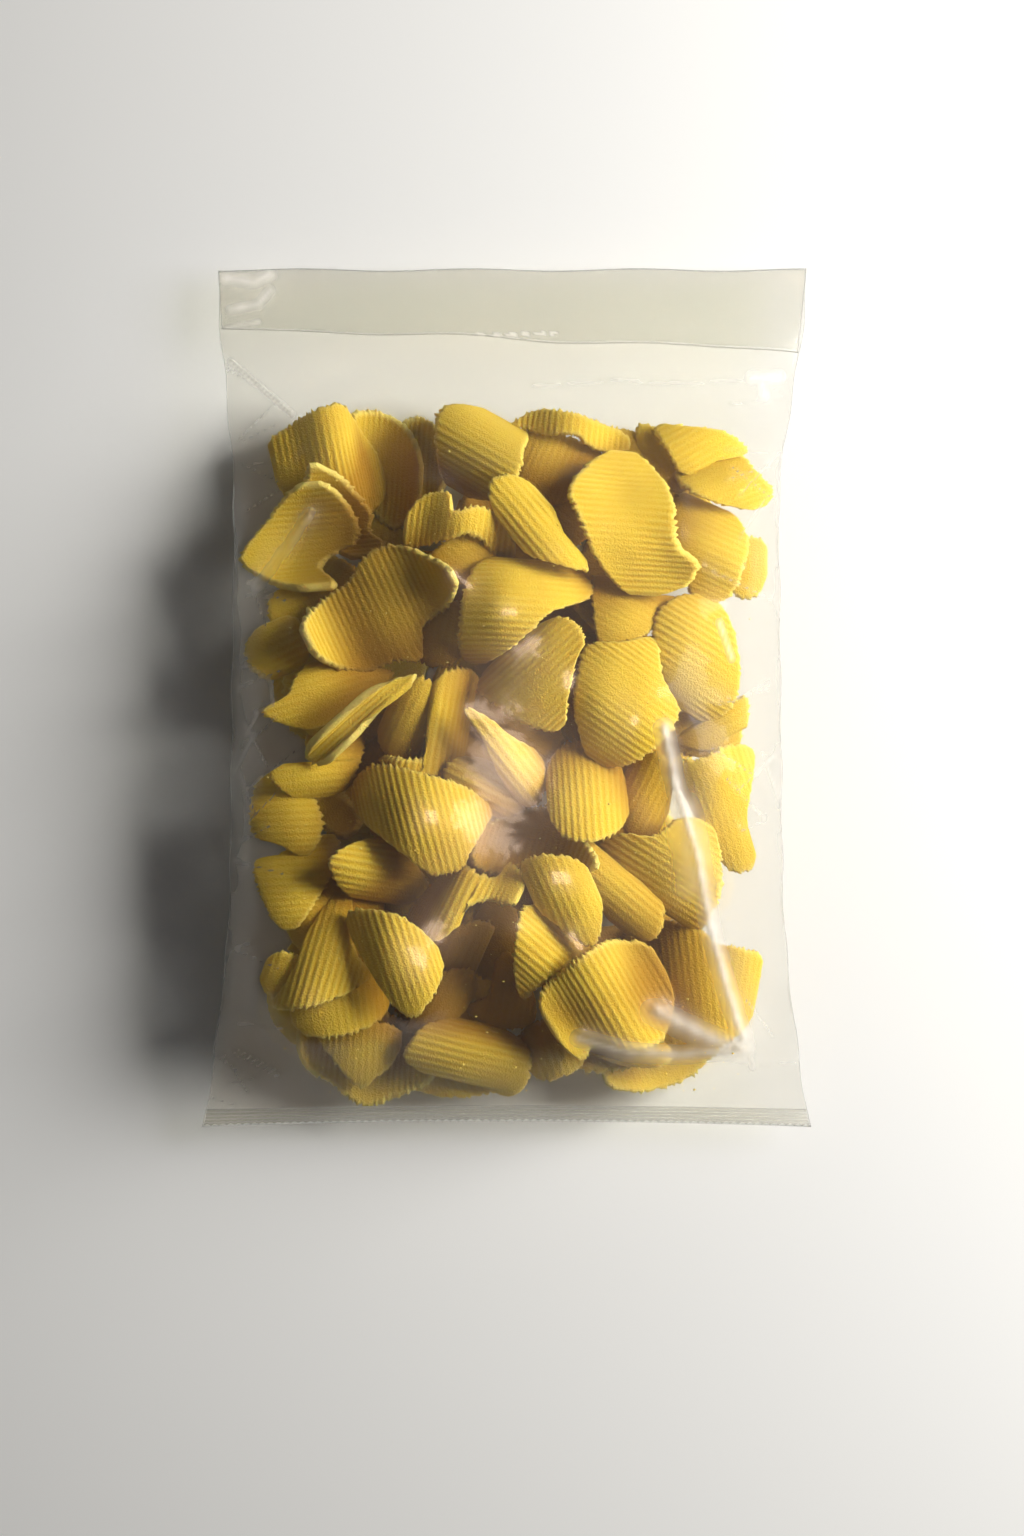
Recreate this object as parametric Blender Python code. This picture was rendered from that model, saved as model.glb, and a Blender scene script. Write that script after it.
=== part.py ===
"""A sealed bag of crisps lying on its back: one closed solid out to the film.

The bag is a flat sleeve of thin clear film, welded along its bottom edge and closed
at the top by a flap folded over onto the front. Filled, it is a pillow: a crowned
front with the lumps of the crisps inside, a back that is flat where it rests, and
thin empty film towards both ends. Metres, +Z up, +Y towards the flap, and the origin
under the middle of the bag, on the surface that it lies on.
"""

import math
import random

import bmesh
import bpy
from mathutils import Vector

# Driving dimensions of the bag, as it lies.
LENGTH = 0.215  # from the bottom weld to the fold of the flap
BOTTOM_WIDTH = 0.152
TOP_WIDTH = 0.1475
WAIST_WIDTH = 0.1365  # the contents draw the sides in along the middle
TOP_LEAN = 0.0015  # the top end lies a little to one side
BOTTOM_ARCH = 0.0015  # the weld curves up this far between its corners
CREST_HEIGHT = 0.046  # the highest film over the crisps, lumps left out
SIDE_HEIGHT = 0.0160  # how high the side edges lie along the filled body
END_HEIGHT = 0.0085  # how high the weld and the flap lie
EDGE_THICKNESS = 0.0008  # both films together, where they lie on each other
FLAP_LEFT, FLAP_RIGHT = 0.0150, 0.0200  # the flap is folded a little askew
FLAP_THICKNESS = 0.0006  # what the folded flap adds to the front
FLAP_STEP = 0.0006  # the length over which its free edge rises

# Where the filling begins and ends, as shares of the length from the bottom weld.
FILL_STARTS, FILL_FULL = 0.0, 0.16
FILL_THINS, FILL_ENDS = 0.66, 0.92
WAIST_BEGINS, WAIST_RELEASES = 0.30, 0.70

# The cross-section: how square its shoulders are, and where its back touches down.
SHOULDER_POWER = 2.5
CROWN_POWER = 0.60
TOUCHDOWN = 0.62

# The crisps show through the film as rounded lumps.
LUMP_SPACING = 0.026
LUMP_RADIUS = 0.017
LUMP_HEIGHT = 0.0034
LUMP_SEED = 11

# The film ripples a little along its free ends.
RIPPLE_HEIGHT = 0.0007
RIPPLES_ACROSS = 5

CELLS_ACROSS = 36
BODY_ROWS = 42
FLAP_ROWS = 3
CROWDING = 0.45  # how much closer together the columns are at the side edges

FILM_COLOUR = (0.86, 0.74, 0.30, 1.0)
FILM_ROUGHNESS = 0.25
SMOOTH_ANGLE = math.radians(40.0)


def smooth(low, high, value):
    """A soft step from 0 at low to 1 at high."""
    share = min(1.0, max(0.0, (value - low) / (high - low)))
    return share * share * (3.0 - 2.0 * share)


def half_width(along):
    """Half the bag's width at a share of its length."""
    ends = BOTTOM_WIDTH + (TOP_WIDTH - BOTTOM_WIDTH) * along
    pull = math.sin(0.5 * math.pi * min(1.0, along / WAIST_BEGINS))
    pull *= 1.0 - smooth(WAIST_RELEASES, 1.0, along)
    return 0.5 * (ends + (WAIST_WIDTH - 0.5 * (BOTTOM_WIDTH + TOP_WIDTH)) * pull)


def filling(along):
    """How full the bag is at a share of its length, from 0 to 1."""
    return smooth(FILL_STARTS, FILL_FULL, along) * (1.0 - smooth(FILL_THINS, FILL_ENDS, along))


def crown(across, along):
    """The pillow's cross-section, 1 at its middle and 0 at its side edges."""
    return filling(along) * (1.0 - abs(across) ** SHOULDER_POWER) ** CROWN_POWER


def edge_height(across, along):
    """The height of the layer where the front and back films meet."""
    full = filling(along)
    ripple = RIPPLE_HEIGHT * math.sin(RIPPLES_ACROSS * math.pi * across) * (1.0 - full)
    return END_HEIGHT + (SIDE_HEIGHT - END_HEIGHT) * full + ripple


def flap_length(across):
    """How far the flap reaches down the front, from its left end (-1) to its right end (1)."""
    return FLAP_LEFT + (FLAP_RIGHT - FLAP_LEFT) * 0.5 * (across + 1.0)


def distance_along(row, across):
    """How far a row of the mesh lies from the weld; the last rows follow the slanted flap."""
    flap_edge = LENGTH - flap_length(across)
    if row <= BODY_ROWS:
        return (flap_edge - FLAP_STEP) * row / BODY_ROWS
    return flap_edge + flap_length(across) * (row - BODY_ROWS - 1) / FLAP_ROWS


def columns():
    """Places across the bag from -1 to 1, closer together towards the side edges."""
    steps = [2.0 * column / CELLS_ACROSS - 1.0 for column in range(CELLS_ACROSS + 1)]
    return [(1.0 - CROWDING) * step + CROWDING * math.sin(0.5 * math.pi * step) for step in steps]


def lump_centres():
    """A loose, staggered grid of places where a crisp presses on the front film."""
    chance = random.Random(LUMP_SEED)
    jitter = 0.3 * LUMP_SPACING
    rows = int(LENGTH / LUMP_SPACING)
    across = int(WAIST_WIDTH / LUMP_SPACING)
    centres = []
    for row in range(rows):
        for column in range(across):
            x = (column - 0.5 * (across - 1) + 0.25 * (-1) ** row) * LUMP_SPACING
            y = (row - 0.5 * (rows - 1)) * LUMP_SPACING
            place = Vector((x + chance.uniform(-jitter, jitter), y + chance.uniform(-jitter, jitter)))
            centres.append((place, LUMP_HEIGHT * chance.uniform(0.4, 1.0)))
    return centres


def lumps(x, y, centres):
    """The height that the lumps add at a point of the front."""
    here = Vector((x, y))
    total = 0.0
    for place, height in centres:
        share = (here - place).length / LUMP_RADIUS
        if share < 1.0:
            total = max(total, height * 0.5 * (1.0 + math.cos(math.pi * share)))
    return total


def plan_place(across, along):
    """The place in the plane of a point of either film."""
    lean = TOP_LEAN * smooth(WAIST_RELEASES, 1.0, along)
    x = across * half_width(along) + lean
    arch = BOTTOM_ARCH * (1.0 - across * across) * (1.0 - along)
    return x, LENGTH * (along - 0.5) + arch


def front_height(across, along, place, centres):
    """The height of the front film, without the flap."""
    shape = crown(across, along)
    pillow = (CREST_HEIGHT - SIDE_HEIGHT) * shape
    return edge_height(across, along) + 0.5 * EDGE_THICKNESS + pillow + lumps(*place, centres) * shape


def back_height(across, along):
    """The height of the back film, flat at 0 where the bag rests."""
    lifted = 1.0 - smooth(0.0, TOUCHDOWN, crown(across, along))
    return (edge_height(across, along) - 0.5 * EDGE_THICKNESS) * lifted


def make_film(mesh, height_at):
    """One film of the bag as a grid of vertices, row by row."""
    film = []
    for row in range(BODY_ROWS + FLAP_ROWS + 2):
        line = []
        for across in columns():
            along = distance_along(row, across) / LENGTH
            place = plan_place(across, along)
            line.append(mesh.verts.new((*place, height_at(row, across, along, place))))
        film.append(line)
    return film


def fill_film(mesh, film, upwards):
    """The faces of a film, pointing up or down."""
    for lower, upper in zip(film, film[1:]):
        for i in range(len(lower) - 1):
            corners = (lower[i], lower[i + 1], upper[i + 1], upper[i])
            mesh.faces.new(corners if upwards else corners[::-1])


def outline_of(film):
    """The vertices round the rim of a film, counter-clockwise from above."""
    right = [line[-1] for line in film[1:]]
    top = film[-1][-2::-1]
    left = [line[0] for line in film[-2:0:-1]]
    return film[0] + right + top + left


def make_bag():
    """The bag as one closed solid: front, back and the thin edge round both."""
    centres = lump_centres()

    def front_at(row, across, along, place):
        flap = FLAP_THICKNESS if row > BODY_ROWS else 0.0
        return front_height(across, along, place, centres) + flap

    def back_at(row, across, along, place):
        return back_height(across, along)

    mesh = bmesh.new()
    front = make_film(mesh, front_at)
    back = make_film(mesh, back_at)
    fill_film(mesh, front, upwards=True)
    fill_film(mesh, back, upwards=False)
    above, below = outline_of(front), outline_of(back)
    for i in range(len(above)):
        following = (i + 1) % len(above)
        mesh.faces.new((below[i], below[following], above[following], above[i]))
    data = bpy.data.meshes.new("bag")
    mesh.to_mesh(data)
    mesh.free()
    data.shade_smooth()
    data.set_sharp_from_angle(angle=SMOOTH_ANGLE)
    bag = bpy.data.objects.new("bag", data)
    bpy.context.scene.collection.objects.link(bag)
    return bag


def film_material():
    """The film, with the yellow of the crisps behind it."""
    material = bpy.data.materials.new("film_over_crisps")
    material.use_nodes = True
    shader = material.node_tree.nodes["Principled BSDF"]
    shader.inputs["Base Color"].default_value = FILM_COLOUR
    shader.inputs["Roughness"].default_value = FILM_ROUGHNESS
    shader.inputs["Metallic"].default_value = 0.0
    return material


def main():
    for old in list(bpy.data.objects):
        bpy.data.objects.remove(old)
    bag = make_bag()
    bag.data.materials.append(film_material())


main()
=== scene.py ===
# %% [markdown]
# # A sealed bag of crisps
#
# The real object is a flat sleeve of thin clear film, welded at the bottom, filled with
# puffed ridged crisps, and shut by folding its top over. It lies on its back. The model
# is built from the inside out, as it is filled: first the crisps, then the film, which
# is laid over them and pulled tight until it rests on their highest points. That order
# gives every fold of the film a reason.

# %% Load the frame
import math
from collections import namedtuple

import bpy
import numpy as np
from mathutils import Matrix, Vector


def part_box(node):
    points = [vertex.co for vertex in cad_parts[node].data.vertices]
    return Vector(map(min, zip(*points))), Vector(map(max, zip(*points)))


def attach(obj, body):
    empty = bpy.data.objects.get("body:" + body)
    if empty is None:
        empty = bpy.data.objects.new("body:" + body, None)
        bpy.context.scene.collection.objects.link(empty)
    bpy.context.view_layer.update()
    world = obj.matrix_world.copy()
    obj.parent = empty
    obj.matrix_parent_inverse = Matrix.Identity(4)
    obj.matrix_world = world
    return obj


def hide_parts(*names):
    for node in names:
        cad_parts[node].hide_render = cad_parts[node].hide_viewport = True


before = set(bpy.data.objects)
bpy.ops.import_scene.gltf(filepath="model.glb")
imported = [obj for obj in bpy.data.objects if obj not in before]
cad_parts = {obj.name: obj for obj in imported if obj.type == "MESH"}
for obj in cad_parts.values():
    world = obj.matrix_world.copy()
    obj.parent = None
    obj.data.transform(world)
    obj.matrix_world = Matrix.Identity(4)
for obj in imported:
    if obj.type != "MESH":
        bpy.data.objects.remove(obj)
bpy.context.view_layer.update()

bag_low, bag_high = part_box("bag")

# %% [markdown]
# ## The bag's smooth form
#
# Everything small is easier to think about in millimetres, so the shapes are worked out
# in millimetres and turned into metres when they become meshes. The smooth pillow is
# never shown: it is the room that the crisps may fill. Its overall sizes come from the
# frame, and only its proportions are chosen here.

# %% The pillow, in millimetres
MM = 0.001
LENGTH = (bag_high.y - bag_low.y) / MM
BOTTOM_WIDTH = (bag_high.x - bag_low.x) / MM
TOP_WIDTH = 0.970 * BOTTOM_WIDTH
WAIST_WIDTH = 0.898 * BOTTOM_WIDTH
CREST = 0.915 * (bag_high.z - bag_low.z) / MM
SIDE_HEIGHT = 16.0
END_HEIGHT = 8.5
TOP_LEAN = 1.5
WAIST_BEGINS, WAIST_RELEASES = 0.30, 0.70
BOTTOM_FILLS = (0.0, 0.16)
TOP_EMPTIES = (0.66, 0.92)
CROWN_BREADTH, CROWN_ROUNDNESS = 2.5, 0.60
TOUCHDOWN = 0.62


def smooth(low, high, value):
    """A soft step from 0 at low to 1 at high."""
    share = np.clip((value - low) / (high - low), 0.0, 1.0)
    return share * share * (3.0 - 2.0 * share)


def half_width(along):
    """Half the bag's width at a share of its length, drawn in by what it holds."""
    ends = BOTTOM_WIDTH + (TOP_WIDTH - BOTTOM_WIDTH) * along
    pull = np.sin(0.5 * np.pi * np.clip(along / WAIST_BEGINS, 0.0, 1.0))
    pull = pull * (1.0 - smooth(WAIST_RELEASES, 1.0, along))
    return 0.5 * (ends + (WAIST_WIDTH - 0.5 * (BOTTOM_WIDTH + TOP_WIDTH)) * pull)


def filling(along):
    """How full the bag is at a share of its length, from 0 to 1."""
    return smooth(*BOTTOM_FILLS, along) * (1.0 - smooth(*TOP_EMPTIES, along))


def edge_height(along):
    """How high the layer lies where the front and back films meet."""
    return END_HEIGHT + (SIDE_HEIGHT - END_HEIGHT) * filling(along)


def crown(x, y):
    """The pillow's fullness over a place of the plan, 1 in the middle and 0 at the sides."""
    along = np.clip(y / LENGTH + 0.5, 0.0, 1.0)
    across = np.clip(np.abs(x) / half_width(along), 0.0, 1.0)
    return filling(along) * (1.0 - across**CROWN_BREADTH) ** CROWN_ROUNDNESS


def pillow_height(x, y):
    """The height of an evenly filled front."""
    along = np.clip(y / LENGTH + 0.5, 0.0, 1.0)
    return edge_height(along) + (CREST - SIDE_HEIGHT) * crown(x, y)


def back_height(x, y):
    """The height of the back film: flat where the bag rests, rising to its edges."""
    along = np.clip(y / LENGTH + 0.5, 0.0, 1.0)
    return edge_height(along) * (1.0 - smooth(0.0, TOUCHDOWN, crown(x, y)))


print(f"bag {LENGTH:.0f} x {BOTTOM_WIDTH:.0f} mm, crest {CREST:.1f} mm")

# %% [markdown]
# ## One crisp
#
# A crisp of this kind is a small sheet of dough, cut from a ridged ribbon and puffed, so
# it has an even thickness and has bent while it cooked. It could be an ellipsoid with a
# texture, but the rims, which catch the light, would be wrong. Here it is a grid of
# columns that run along the ridges and end on a given outline. Two slope profiles,
# across and along the ridges, bend it into a dome, a cup, a saddle or a scroll. Ridges,
# rounded rims and crumbly edges are real relief, because they show in the silhouette.

# %% The slope profile of a bent sheet
STEEPEST = math.radians(70.0)
WAVES_ACROSS = 1.5


def bend(share, half, curl, wave=0.0, phase=0.0, hook=0.0):
    """The fall and the length along the sheet, at shares from -1 to 1 of its half width."""
    table = np.linspace(-1.1, 1.1, 221)
    slope = np.radians(curl) * table + np.radians(hook) * np.maximum(table, 0.0) ** 3
    slope = slope + np.radians(wave) * (np.sin(WAVES_ACROSS * np.pi * table + phase) - math.sin(phase))
    slope = np.clip(slope, -STEEPEST, STEEPEST)
    step = half * (table[1] - table[0])
    fall = np.cumsum(np.tan(slope)) * step
    length = np.cumsum(1.0 / np.cos(slope)) * step
    fall = fall - np.interp(0.0, table, fall)
    length = length - np.interp(0.0, table, length)
    return np.interp(share, table, fall), np.interp(share, table, length)


# %% [markdown]
# A real crisp is cut with straight or curved edges and then shrinks unevenly, so no two
# outlines match. A curve object could hold an outline, but here a few corners and a smooth
# curve through them are enough, and a rounded oval serves where little of a crisp shows.
# For every column across it, the curve then says where the column starts and ends.

# %% The outline of a crisp
SQUARENESS = 0.85
OVAL_CORNERS = 12


def closed_curve(points, steps=8):
    """A smooth closed curve through a few points (Catmull-Rom)."""
    a, b, c, d = (np.roll(points, shift, axis=0)[:, None, :] for shift in (1, 0, -1, -2))
    t = (np.arange(steps) / steps)[None, :, None]
    bending = (2 * a - 5 * b + 4 * c - d) * t**2
    twisting = (3 * b - a - 3 * c + d) * t**3
    return (0.5 * (2 * b + (c - a) * t + bending + twisting)).reshape(-1, 2)


def oval(x, y, long, wide, turn, egg=0.0):
    """A rounded outline: its middle, its two sizes, its heading and how far one end narrows."""
    angle = np.arange(OVAL_CORNERS) * 2 * np.pi / OVAL_CORNERS
    cosine, sine = np.cos(angle), np.sin(angle)
    along = 0.5 * long * np.sign(cosine) * np.abs(cosine) ** SQUARENESS
    aside = 0.5 * wide * np.sign(sine) * np.abs(sine) ** SQUARENESS * (1.0 - egg * cosine)
    turned = math.radians(turn)
    return np.column_stack([
        x + along * math.cos(turned) - aside * math.sin(turned),
        y + along * math.sin(turned) + aside * math.cos(turned),
    ])


def column_ends(curve, columns):
    """Where columns at given places across a closed curve start and end on it."""
    p0, q0 = curve[:, 0], curve[:, 1]
    p1, q1 = np.roll(p0, -1), np.roll(q0, -1)
    place = columns[:, None]
    crosses = (np.minimum(p0, p1) <= place) & (place <= np.maximum(p0, p1))
    run = np.where(np.abs(p1 - p0) < 1e-9, 1e-9, p1 - p0)
    q = q0 + (q1 - q0) * (place - p0) / run
    return np.where(crosses, q, 1e9).min(axis=1), np.where(crosses, q, -1e9).max(axis=1)


# %% [markdown]
# Nothing baked or puffed is quite even. A texture could fake that, but then the rims would
# stay smooth. So the sheet itself is uneven: a few long waves of random heading, added up,
# make its surface, its thickness and the depth of its ridges wander.

# %% Unevenness
WOBBLE_LENGTHS = (31.0, 19.0, 12.0)
FULL_TURN = 6.28


def wobble(p, q, rng, size):
    """A smooth random unevenness over a plane."""
    total = 0.0
    for length in WOBBLE_LENGTHS:
        angle = rng.uniform(0, np.pi)
        heading = p * math.cos(angle) + q * math.sin(angle)
        wave = np.cos(2 * np.pi * heading / length + rng.uniform(0, FULL_TURN))
        total = total + size * wave * length / WOBBLE_LENGTHS[0]
    return total


# %% [markdown]
# The sheet of a crisp is a grid: columns run along its ridges, five for each ridge in
# front and three behind, and rows cross them. A plane with modifiers would waste points
# beyond the outline. Here each column is as long as the outline allows, its rows crowd
# towards its two ends, where the rim turns over, and its last points crumble a little.

# %% The grid of a crisp, laid flat
RIDGE_PITCH = 1.6
FINE_GRID = (5, 29)
COARSE_GRID = (3, 13)
RIM_CROWDING = 1.6
CRUMBLE = 0.32
SCALLOP = 0.12
UNDULATION = 0.35
Flat = namedtuple("Flat", "share_p p q t reach spread ridge half_p half_q axes shift middle")


def flat_grid(item, rng, fine):
    """A crisp's grid before it bends: p across the ridges and q along them."""
    angle = math.radians(item.ridges)
    along_ridges = np.array([math.cos(angle), math.sin(angle)])
    across_ridges = np.array([math.sin(angle), -math.cos(angle)])
    axes = np.stack([across_ridges, along_ridges])
    outline = closed_curve(np.array(item.outline, dtype=float))
    middle = 0.5 * (outline.min(0) + outline.max(0))
    local = (outline - middle) @ axes.T
    shift = 0.5 * (local.min(0) + local.max(0))
    local = local - shift
    half_p, half_q = local.max(0)
    per_ridge, rows = FINE_GRID if fine else COARSE_GRID
    table = np.linspace(-0.985, 0.985, 200)
    _, length = bend(table, half_p, item.curl, item.wave, item.phase, item.hook)
    columns = int((length[-1] - length[0]) / RIDGE_PITCH * per_ridge)
    spread = np.linspace(length[0], length[-1], columns)
    share_p = np.interp(spread, length, table)
    low, high = column_ends(local, share_p * half_p)
    tau = np.linspace(-1.0, 1.0, rows)
    t = np.sign(tau) * (1.0 - (1.0 - np.abs(tau)) ** RIM_CROWDING)
    reach = 0.5 * (high - low)
    crumble = rng.normal(0, CRUMBLE, (columns, 2))
    ridge = np.cos(2 * np.pi * spread / RIDGE_PITCH + rng.uniform(0, FULL_TURN))[:, None]
    q = 0.5 * (high + low)[:, None] + reach[:, None] * t[None, :]
    q = q + np.where(t > 0, crumble[:, :1], crumble[:, 1:]) * np.abs(t) ** 8 + SCALLOP * ridge * t**9
    p = (share_p * half_p)[:, None] + 0.0 * q
    return Flat(share_p, p, q, t, reach, spread, ridge, half_p, half_q, axes, shift, middle)


def bent_grid(item, flat, rng):
    """The same grid bent, leant and put in its place in the plan."""
    fall_p, _ = bend(flat.share_p, flat.half_p, item.curl, item.wave, item.phase, item.hook)
    fall_q, _ = bend(flat.q / flat.half_q, flat.half_q, item.cup)
    z = -fall_p[:, None] - fall_q + item.twist * (flat.p / flat.half_p) * (flat.q / flat.half_q)
    z = z + wobble(flat.p, flat.q, rng, UNDULATION)
    lean_way = math.radians(item.lean_to)
    plan = np.stack([flat.p + flat.shift[0], flat.q + flat.shift[1]], axis=2) @ flat.axes
    lean = -math.tan(math.radians(item.lean)) * (plan @ np.array([math.cos(lean_way), math.sin(lean_way)]))
    return np.concatenate([plan + flat.middle, (z + lean)[..., None]], axis=2)


# %% [markdown]
# The dough is about two millimetres thick and its rims are rounded. A Solidify modifier
# would leave them square. So the sheet gets two skins of its own, which draw together
# towards the rim in a quarter circle and share their last points, and each skin carries
# the ridges. The marks that steer the colour later are worked out here as well.

# %% The two skins
THICKNESS = 2.2
RIDGE_HEIGHT = 0.11
INNER_SHARE = 0.8
RIM_WIDTH = 1.5
# Rims are paler partly by their crumbly dough and partly as painted light: full where a cupped crisp's rim
# faces up, weaker on domed ones.
DOMED_RIM = 0.6


def grid_normals(points):
    """The unit normals of a grid of points."""
    normal = np.cross(np.gradient(points, axis=0), np.gradient(points, axis=1))
    return normal / np.maximum(np.linalg.norm(normal, axis=2, keepdims=True), 1e-9)


def crisp_sheet(item, rng, fine):
    """The upper and lower skins of a crisp as grids, and the marks for its colour."""
    flat = flat_grid(item, rng, fine)
    sheet = bent_grid(item, flat, rng)
    normal = grid_normals(sheet)
    normal = normal * np.where(normal[..., 2:] < 0, -1.0, 1.0)
    to_end = (flat.spread[:, None] - flat.spread[0], flat.spread[-1] - flat.spread[:, None])
    to_rim = np.minimum((1.0 - np.abs(flat.t))[None, :] * flat.reach[:, None], np.minimum(*to_end))
    half_thick = 0.5 * THICKNESS * (1.0 + wobble(flat.p, flat.q, rng, 0.10))
    rounding = np.sqrt(1.0 - (1.0 - np.clip(to_rim / half_thick, 0.0, 1.0)) ** 2)
    unevenness = np.clip(0.85 + wobble(flat.p, flat.q, rng, 0.45), 0.2, 1.2)
    depth = RIDGE_HEIGHT * item.fade * unevenness
    relief = flat.ridge * depth * rounding
    face = 1.0 if item.curl >= 0 else INNER_SHARE
    upper = sheet + normal * (half_thick * rounding + face * relief)[..., None]
    lower = sheet - normal * (half_thick * rounding - (1.5 - face) * relief)[..., None]
    # The second mark is the pale rim, partly painted light: full on cupped crisps, whose rims face up, and
    # weaker on domed ones.
    rim = np.clip(1.0 - to_rim / RIM_WIDTH, 0.0, 1.0) * (1.0 if item.curl < 0 else DOMED_RIM)
    # The first mark makes ridge tops paler and valleys darker: partly the dough's own tone, partly painted
    # light and shade.
    marks = np.stack([0.5 + 0.5 * flat.ridge * depth / RIDGE_HEIGHT, rim], axis=2)
    return upper, lower, marks


# %% The faces between the points
def grid_quads(index):
    """Quads over a grid of vertex numbers."""
    corners = [index[:-1, :-1], index[1:, :-1], index[1:, 1:], index[:-1, 1:]]
    return np.stack(corners, axis=-1).reshape(-1, 4)


def skin_faces(columns, rows):
    """Quads for the two skins, which share the vertices of the rim."""
    index = np.arange(columns * rows).reshape(columns, rows)
    below = index.copy()
    inner = np.arange((columns - 2) * (rows - 2)).reshape(columns - 2, -1)
    below[1:-1, 1:-1] = columns * rows + inner
    return np.concatenate([grid_quads(index), grid_quads(below)[:, ::-1]])


# %% [markdown]
# ## Where each crisp lies
#
# Crisps in a shut bag press against the film and hide one another. Each one in front gets
# the outline that shows from above, the direction of its ridges and its bends. Heights
# are not typed in. The list runs from the crisps that touch the film to the ones deepest
# down, and each crisp rises, and tilts to nest as high as it can, until it meets the film
# or a crisp above it. A map of the lowest points so far keeps them from crossing far.

# %% Maps of the room that is left
MAP_HALF_X, MAP_HALF_Y = 85, 115
FILM_GAP = 0.5
FAR = 99.0
map_x = np.arange(-MAP_HALF_X, MAP_HALF_X + 1.0)[:, None]
map_y = np.arange(-MAP_HALF_Y, MAP_HALF_Y + 1.0)[None, :]
ceiling = pillow_height(map_x, map_y) - FILM_GAP
ground = back_height(map_x, map_y) + FILM_GAP


def map_cells(points):
    """The map cells under some points, one for each millimetre."""
    i = np.clip(np.rint(points[:, 0]).astype(int) + MAP_HALF_X, 0, 2 * MAP_HALF_X)
    j = np.clip(np.rint(points[:, 1]).astype(int) + MAP_HALF_Y, 0, 2 * MAP_HALF_Y)
    return i, j


def widened(field, pick):
    """Each cell takes the highest (or lowest) value of its neighbours."""
    out = field.copy()
    out[1:] = pick(out[1:], field[:-1])
    out[:-1] = pick(out[:-1], field[1:])
    once = out.copy()
    out[:, 1:] = pick(out[:, 1:], once[:, :-1])
    out[:, :-1] = pick(out[:, :-1], once[:, 1:])
    return out


def stamp(field, points, pick, empty):
    """Adds a crisp's own heights to a map."""
    own = np.full(field.shape, empty)
    pick.at(own, map_cells(points), points[:, 2])
    np.copyto(field, pick(field, widened(own, pick)))


# %% [markdown]
# Real crisps slide over one another until they catch. A physics run could settle them, but
# it would move every crisp away from the place where it has to show. So each crisp keeps
# its place in the plan and only its height and tilt are searched. Rims catch in hollows,
# so a share of its points may pass what it meets, by about two millimetres at the most.

# %% Nesting a crisp
BITE = 0.22
DEEPEST_BITE = 2.2
SETTLED_BITE = 0.15
TILTS = np.linspace(-0.72, 0.72, 9)
TILT_COST = 5.0
SAMPLING = 3


def nest(points, field, upward, free):
    """The tilt and height that bring a crisp closest to a map, with only a small bite."""
    some = points[::SAMPLING]
    wall = field[map_cells(some)]
    dx, dy = (some[:, :2] - points[:, :2].mean(0)).T
    sign = 1.0 if upward else -1.0
    kept = int(BITE * len(some))
    deepest = DEEPEST_BITE if upward else SETTLED_BITE
    best = None
    for tilt_x in TILTS if free else (0.0,):
        for tilt_y in TILTS if free else (0.0,):
            room = sign * (wall - some[:, 2] - tilt_x * dx - tilt_y * dy)
            height = min(np.partition(room, kept)[kept], room.min() + deepest)
            score = height - TILT_COST * (tilt_x**2 + tilt_y**2)
            if best is None or score > best[0]:
                best = (score, tilt_x, tilt_y, sign * height)
    _, tilt_x, tilt_y, height = best
    moved = points.copy()
    moved[:, 2] += height + (points[:, :2] - points[:, :2].mean(0)) @ np.array([tilt_x, tilt_y])
    return moved


# %% [markdown]
# One line of the list says all about a crisp: its outline, which way its ridges run, how
# far it curls across them and cups along them, both in degrees, and any wave, hook, twist,
# lean, depth or worn ridges. A positive curl is a dome, and a negative one is a hollow.

# %% Building one crisp of the list
PUFFINESS = 1.45
FIRST_SEED = 1000
Crisp = namedtuple("Crisp", "outline ridges curl cup wave phase hook twist lean_to lean sunk fade")


def crisp(outline, ridges, curl, cup, wave=0.0, phase=0.0, hook=0.0, twist=0.0, lean_to=0.0,
          lean=0.0, sunk=0.0, fade=1.0):
    """One line of the list, with the usual values filled in."""
    if curl > 0:
        curl, cup = PUFFINESS * curl, PUFFINESS * cup
    return Crisp(outline, ridges, curl, cup, wave, phase, hook, twist, lean_to, lean, sunk, fade)


def crisp_points(item, rng, fine):
    """The vertices and marks of a crisp, before it finds its height."""
    upper, lower, marks = crisp_sheet(item, rng, fine)
    points = np.concatenate([upper.reshape(-1, 3), lower[1:-1, 1:-1].reshape(-1, 3)])
    shade = np.concatenate([marks.reshape(-1, 2), marks[1:-1, 1:-1].reshape(-1, 2)])
    tint = np.full((len(points), 1), rng.uniform(0, 1))
    return points, skin_faces(*upper.shape[:2]), np.concatenate([shade, tint], axis=1)


def build_crisp(item, number):
    """A crisp of the list, risen until it meets what is above it."""
    rng = np.random.default_rng(FIRST_SEED + number)
    points, quads, marks = crisp_points(item, rng, True)
    points = nest(points, ceiling, True, item.lean == 0.0)
    points[:, 2] -= item.sunk
    stamp(ceiling, points, np.minimum, FAR)
    return points, quads, marks


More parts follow.
